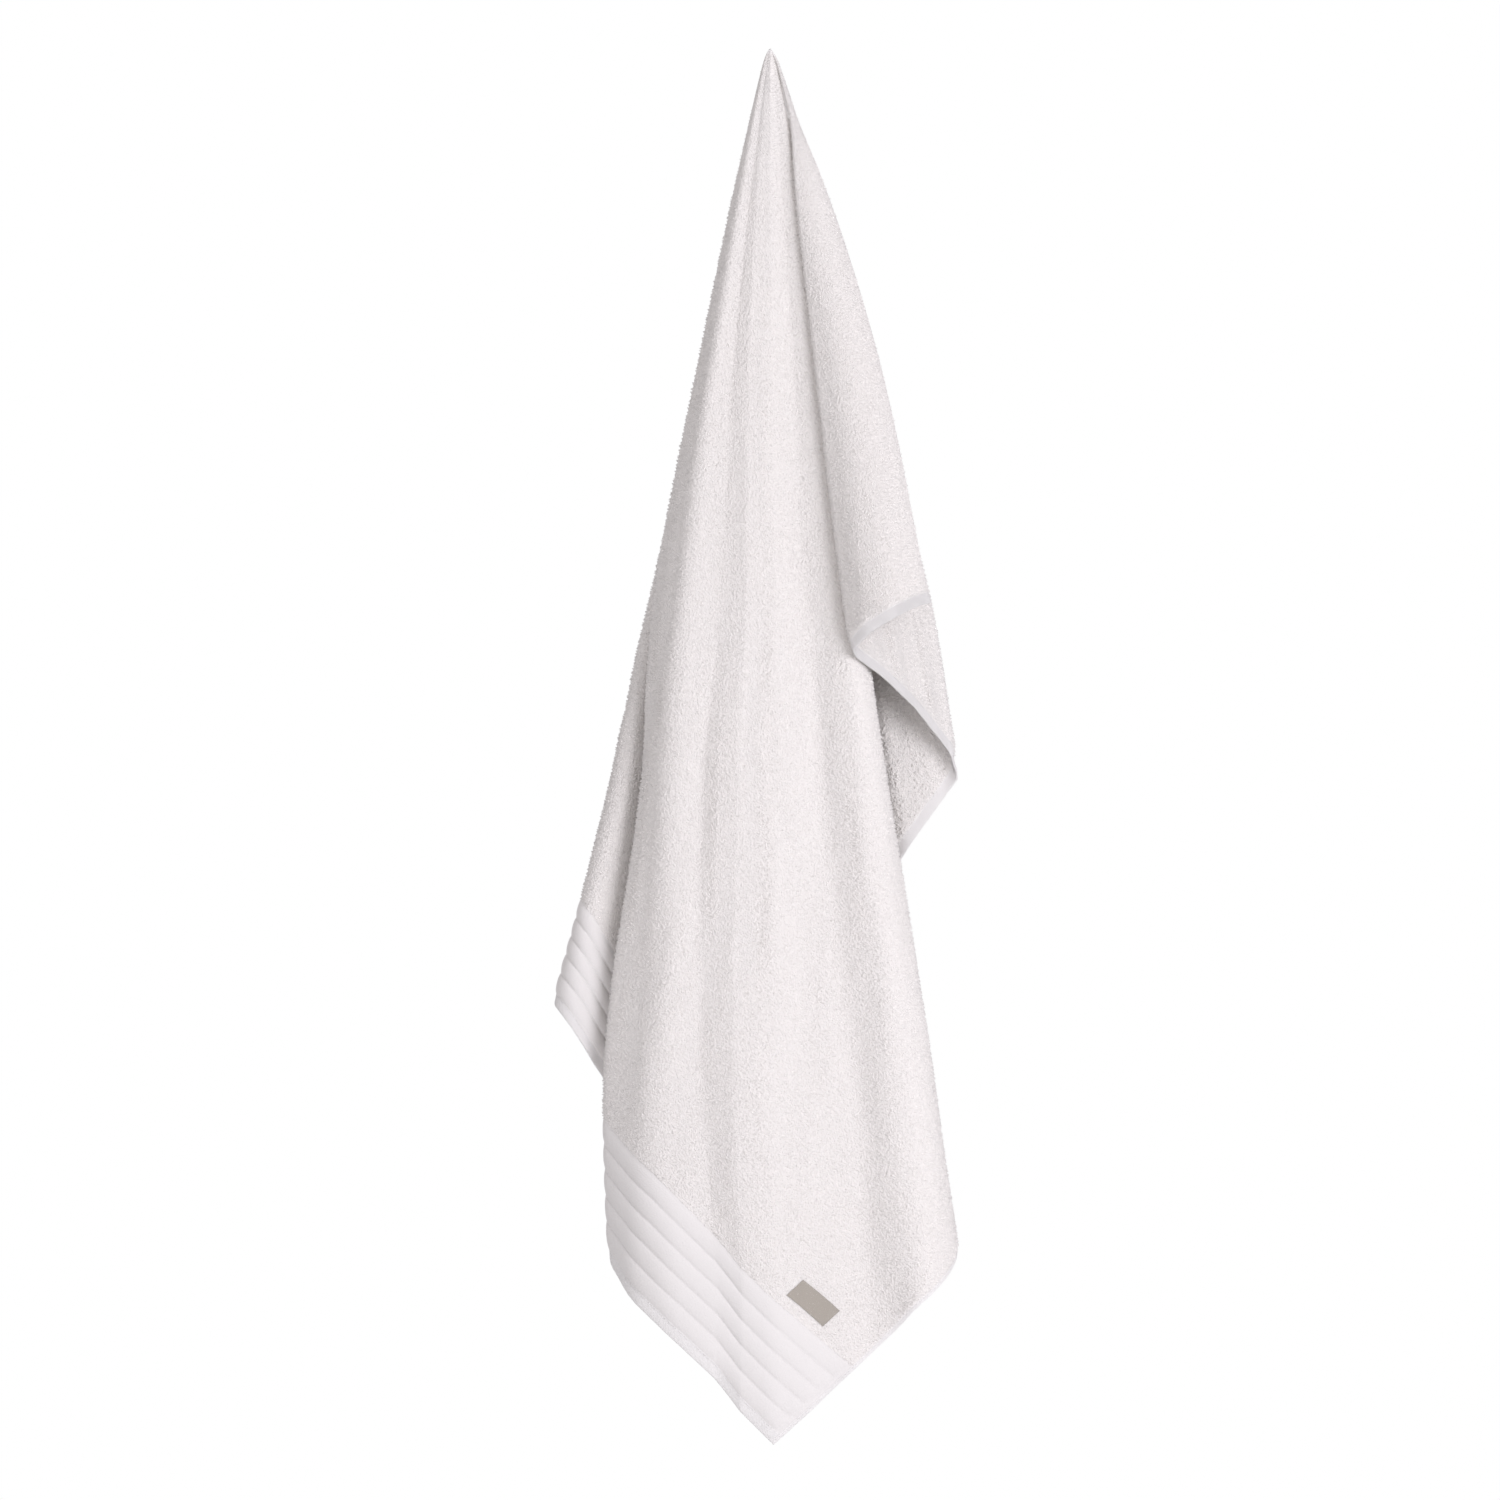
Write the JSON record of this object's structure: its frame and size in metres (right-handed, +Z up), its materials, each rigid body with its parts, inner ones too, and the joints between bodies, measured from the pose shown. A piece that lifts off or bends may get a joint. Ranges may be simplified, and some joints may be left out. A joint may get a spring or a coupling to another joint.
{
  "type": "hanging bath sheet",
  "caption": "White terry bath sheet hanging in folds from one point of a long edge, with a ribbed border and a small bare sewn label.",
  "frame": {"origin": "the top of the gathered tip, at the point where the sheet hangs", "axes": "+Z up along the plumb line, -Y towards the side with the label, +X to the right as seen from that side"},
  "size_m": [0.3792, 0.2733, 1.3049],
  "materials": {
    "terry": "looped terry pile, with smooth padded ribs and flat woven hems",
    "label_weave": "flat woven beige tape, with no lettering"
  },
  "bodies": {
    "root": {"cloth": "terry", "label": "label_weave"}
  },
  "joints": []
}
